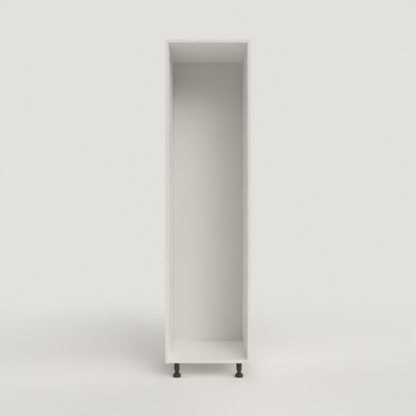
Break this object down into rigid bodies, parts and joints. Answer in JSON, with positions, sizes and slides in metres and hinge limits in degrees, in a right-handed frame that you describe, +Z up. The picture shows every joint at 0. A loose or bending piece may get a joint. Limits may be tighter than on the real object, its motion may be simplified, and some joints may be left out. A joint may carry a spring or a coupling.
{
  "type": "tall cabinet carcass",
  "caption": "Tall open-fronted kitchen cabinet carcass of melamine-faced board, with a grooved-in back and black plastic legs that screw up and down to level it.",
  "frame": {"origin": "on the floor under the middle of the carcass's footprint", "axes": "+Z up, the open front faces -Y, +X to the right as seen from the front"},
  "size_m": [0.5, 0.56, 2],
  "materials": {
    "melamine_board": "satin",
    "back_board": "satin",
    "edge_band": "satin",
    "beech_dowel": "matte",
    "zinc_cam": "satin",
    "plated_steel": "satin",
    "black_plastic": "satin"
  },
  "bodies": {
    "carcass": {"left_side_panel": "melamine_board", "right_side_panel": "melamine_board", "top_panel": "melamine_board", "bottom_panel": "melamine_board", "lower_rear_rail": "melamine_board", "upper_rear_rail": "melamine_board", "back_panel": "back_board", "left_edge_band": "edge_band", "right_edge_band": "edge_band", "top_edge_band": "edge_band", "bottom_edge_band": "edge_band", "corner_dowels": "beech_dowel", "rail_dowels": "beech_dowel", "cam_locks": "zinc_cam", "cam_bolts": "plated_steel", "leg_fixing_screws": "plated_steel", "leg_plate_front_left": "black_plastic", "leg_tube_front_left": "black_plastic", "leg_plate_front_right": "black_plastic", "leg_tube_front_right": "black_plastic", "leg_plate_rear_left": "black_plastic", "leg_tube_rear_left": "black_plastic", "leg_plate_rear_right": "black_plastic", "leg_tube_rear_right": "black_plastic"},
    "foot_front_left": {"foot_front_left": "black_plastic"},
    "screw_front_left": {"adjusting_screw_front_left": "black_plastic"},
    "foot_front_right": {"foot_front_right": "black_plastic"},
    "screw_front_right": {"adjusting_screw_front_right": "black_plastic"},
    "foot_rear_left": {"foot_rear_left": "black_plastic"},
    "screw_rear_left": {"adjusting_screw_rear_left": "black_plastic"},
    "foot_rear_right": {"foot_rear_right": "black_plastic"},
    "screw_rear_right": {"adjusting_screw_rear_right": "black_plastic"}
  },
  "joints": [
    {"name": "foot_rise_front_left", "type": "slide", "parent": "carcass", "child": "foot_front_left", "axis": [0, 0, 1], "range_m": [-0.015, 0.018]},
    {"name": "screw_turn_front_left", "type": "hinge", "parent": "foot_front_left", "child": "screw_front_left", "pos_m": [-0.186, -0.203, 0.02], "axis": [0, 0, 1], "range_deg": [-1351, 1621]},
    {"name": "foot_rise_front_right", "type": "slide", "parent": "carcass", "child": "foot_front_right", "axis": [0, 0, 1], "range_m": [-0.015, 0.018]},
    {"name": "screw_turn_front_right", "type": "hinge", "parent": "foot_front_right", "child": "screw_front_right", "pos_m": [0.186, -0.203, 0.02], "axis": [0, 0, 1], "range_deg": [-1351, 1621]},
    {"name": "foot_rise_rear_left", "type": "slide", "parent": "carcass", "child": "foot_rear_left", "axis": [0, 0, 1], "range_m": [-0.015, 0.018]},
    {"name": "screw_turn_rear_left", "type": "hinge", "parent": "foot_rear_left", "child": "screw_rear_left", "pos_m": [-0.186, 0.18, 0.02], "axis": [0, 0, 1], "range_deg": [-1351, 1621]},
    {"name": "foot_rise_rear_right", "type": "slide", "parent": "carcass", "child": "foot_rear_right", "axis": [0, 0, 1], "range_m": [-0.015, 0.018]},
    {"name": "screw_turn_rear_right", "type": "hinge", "parent": "foot_rear_right", "child": "screw_rear_right", "pos_m": [0.186, 0.18, 0.02], "axis": [0, 0, 1], "range_deg": [-1351, 1621]}
  ],
  "couplings": [
    {"joint": "screw_turn_front_left", "follows": "foot_rise_front_left", "rad_per_m": 1570.8},
    {"joint": "screw_turn_front_right", "follows": "foot_rise_front_right", "rad_per_m": 1570.8},
    {"joint": "screw_turn_rear_left", "follows": "foot_rise_rear_left", "rad_per_m": 1570.8},
    {"joint": "screw_turn_rear_right", "follows": "foot_rise_rear_right", "rad_per_m": 1570.8}
  ]
}
